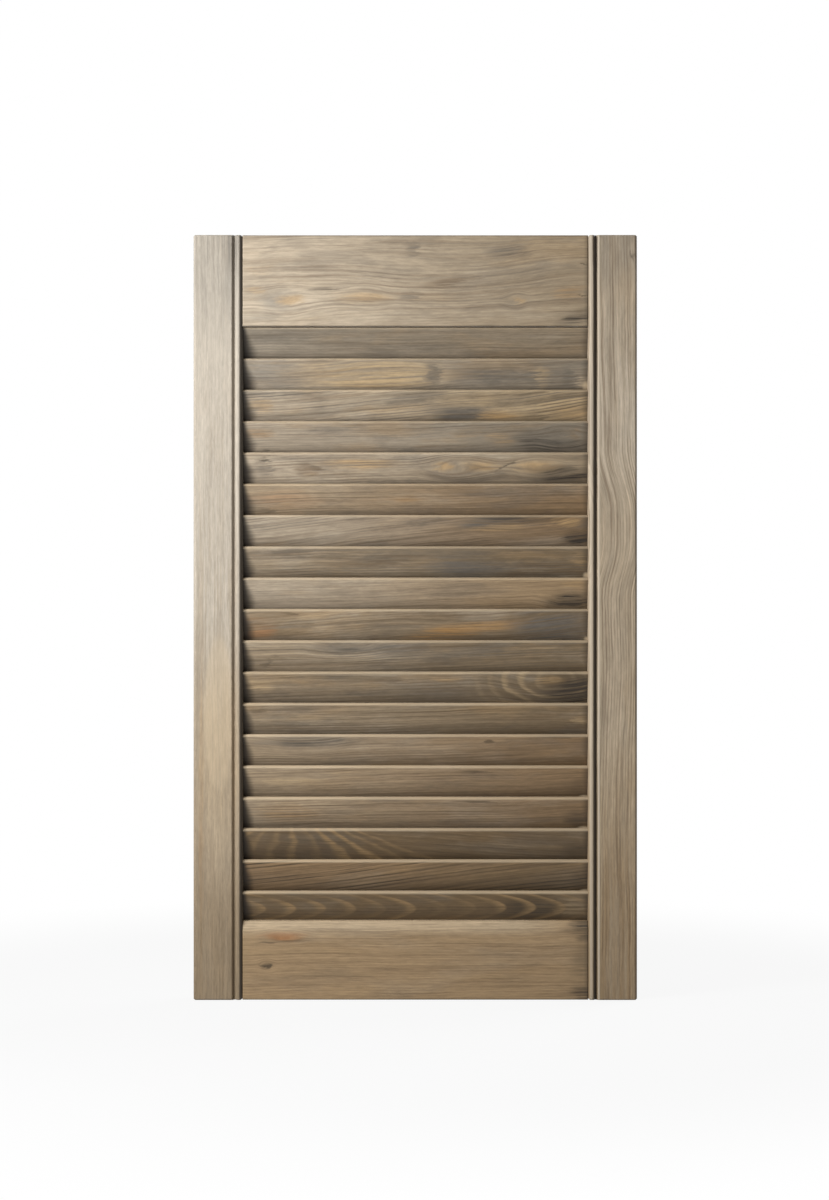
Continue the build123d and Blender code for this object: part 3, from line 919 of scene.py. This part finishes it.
def wood(board, seed):
    """Stained pine for one board."""
    chosen = LOOKS[board.name]
    material = bpy.data.materials.new(f"pine_{board.name}")
    material.use_nodes = True
    graph = Graph(material.node_tree)
    shader = material.node_tree.nodes["Principled BSDF"]
    place = board_place(graph, board)
    grain = board_grain(graph, board, place, chosen, seed)
    half = board.visible_length / 2
    travel = graph.step(graph.parts(place)[0], -half, half)
    main = graph.mix(travel, TONES[chosen.near], TONES[chosen.far])
    color = graph.group(TONE, flow=grain["Flow"], seed=seed, main=main, unevenness=chosen.uneven)["Color"]
    color = figured(graph, board, place, color)
    color = marked(graph, board, place, grain, color)
    if board.name == "bottom_rail":
        # Wear and painted highlight on the bevel, which faces up towards the light
        color = graph.mix(bevel_wear_and_highlight(graph, board, place), color, TONES["wear_and_highlight"])
    color = graph.mix(graph.math("MULTIPLY", grain["Late"], chosen.contrast), color, TONES[chosen.line])
    color = graph.mix(graph.math("MULTIPLY", grain["Pore"], chosen.pores), color, TONES["brown"])
    color = streaked(graph, chosen, grain, color)
    if "stile" in board.name:
        # Painted shade and highlight along the stile's bead and quirk
        color = with_painted_light_bands(graph, board, place, color)
    else:
        # Stain on the rails; on the slats, painted shade and the stile's painted shadow as well as stain
        darkening_of = slat_shade_and_stain if board.name in SLATS else rail_stain
        color = graph.mix(darkening_of(graph, board, place, grain["Fibre"]), color, TONES["dark"])
    if board.name in SLATS:
        # Wear and painted highlight along the slat's upper edge
        color = graph.mix(edge_wear_and_highlight(graph, board, place), color, TONES["wear_and_highlight"])
    # A clean arch on the left stile, and painted highlights at the slats' right ends
    color = with_arch_and_glints(graph, board, place, color)
    graph.put(shader.inputs["Base Color"], color)
    put_surface(graph, shader, grain)
    return material


def dress_boards():
    """Every board gets its own piece of wood."""
    for index, name in enumerate(sorted(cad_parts)):
        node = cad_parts[name]
        node.data.materials.clear()
        node.data.materials.append(wood(Board(name), seed=SEED_STEP * index + FIRST_SEED))


def white_to_camera(graph, surface, white_share):
    """The surface for light and shadow, and mostly plain white where it is seen or mirrored."""
    rays = graph.add("ShaderNodeLightPath").outputs
    seen = graph.math("MAXIMUM", rays["Is Camera Ray"], rays["Is Glossy Ray"])
    seen = graph.math("MAXIMUM", seen, rays["Is Transmission Ray"])
    white = graph.add("ShaderNodeEmission")
    graph.put(white.inputs["Color"], WHITE)
    graph.put(white.inputs["Strength"], 1.0)
    mix = graph.add("ShaderNodeMixShader")
    graph.put(mix.inputs[0], graph.math("MULTIPLY", seen, white_share))
    graph.put(mix.inputs[1], surface)
    graph.put(mix.inputs[2], white.outputs[0])
    return mix.outputs[0]


def add_floor():
    """A plain white floor that keeps a soft shadow round the object."""
    half = FLOOR_SIZE / 2
    mesh = bpy.data.meshes.new("floor")
    corners = [(-half, -half, 0.0), (half, -half, 0.0), (half, half, 0.0), (-half, half, 0.0)]
    mesh.from_pydata(corners, [], [(0, 1, 2, 3)])
    floor = bpy.data.objects.new("floor", mesh)
    bpy.context.scene.collection.objects.link(floor)
    material = bpy.data.materials.new("floor_white")
    material.use_nodes = True
    graph = Graph(material.node_tree)
    shader = material.node_tree.nodes["Principled BSDF"]
    graph.put(shader.inputs["Base Color"], FLOOR_GREY)
    graph.put(shader.inputs["Roughness"], 1.0)
    graph.put(shader.inputs["Specular IOR Level"], 0.0)
    output = material.node_tree.nodes["Material Output"]
    away = graph.vector("LENGTH", graph.add("ShaderNodeTexCoord").outputs["Object"])
    near_share = 1.0 - FLOOR_SHADOW_SHARE
    white_share = graph.step(away, FLOOR_SHADOW_REACH / 2, FLOOR_SHADOW_REACH, near_share, 1.0)
    graph.put(output.inputs["Surface"], white_to_camera(graph, shader.outputs[0], white_share))
    mesh.materials.append(material)


def add_world():
    """Even soft light, and plain white where the camera sees it."""
    world = bpy.data.worlds.new("studio")
    bpy.context.scene.world = world
    world.use_nodes = True
    graph = Graph(world.node_tree)
    soft = world.node_tree.nodes["Background"]
    graph.put(soft.inputs["Color"], WHITE)
    graph.put(soft.inputs["Strength"], AMBIENT_STRENGTH)
    output = world.node_tree.nodes["World Output"]
    graph.put(output.inputs["Surface"], white_to_camera(graph, soft.outputs[0], 1.0))


def add_light(name, place, aim, size, power):
    """A square soft light."""
    lamp = bpy.data.lights.new(name, "AREA")
    lamp.size = size
    lamp.energy = power
    light = bpy.data.objects.new(name, lamp)
    light.location = place
    light.rotation_euler = (aim - place).to_track_quat("-Z", "Y").to_euler()
    bpy.context.scene.collection.objects.link(light)


def add_camera():
    """Straight on to the front, so that the panel's outline falls where the photograph has it."""
    low, high = cad_box
    metres_per_px = (high[2] - low[2]) / (PANEL_BOTTOM_PX - PANEL_TOP_PX)
    right_px = (PANEL_LEFT_PX + PANEL_RIGHT_PX) / 2 - PHOTO_WIDTH_PX / 2
    down_px = (PANEL_TOP_PX + PANEL_BOTTOM_PX) / 2 - PHOTO_HEIGHT_PX / 2
    data = bpy.data.cameras.new("camera")
    data.sensor_fit = "VERTICAL"
    data.sensor_height = SENSOR_HEIGHT_MM
    data.lens = SENSOR_HEIGHT_MM * CAMERA_DISTANCE / (PHOTO_HEIGHT_PX * metres_per_px)
    camera = bpy.data.objects.new("camera", data)
    camera.location = (
        (low[0] + high[0]) / 2 - right_px * metres_per_px,
        low[1] - CAMERA_DISTANCE,
        (low[2] + high[2]) / 2 + down_px * metres_per_px,
    )
    camera.rotation_euler = (math.pi / 2, 0.0, 0.0)
    bpy.context.scene.collection.objects.link(camera)
    bpy.context.scene.camera = camera


dress_boards()
add_floor()
add_world()
add_light("key", KEY_PLACE, KEY_AIM, KEY_SIZE, KEY_POWER)
add_light("fill", FILL_PLACE, FILL_AIM, FILL_SIZE, FILL_POWER)
add_light("back", BACK_PLACE, BACK_AIM, BACK_SIZE, BACK_POWER)
add_camera()
bpy.context.scene.view_settings.view_transform = "Standard"
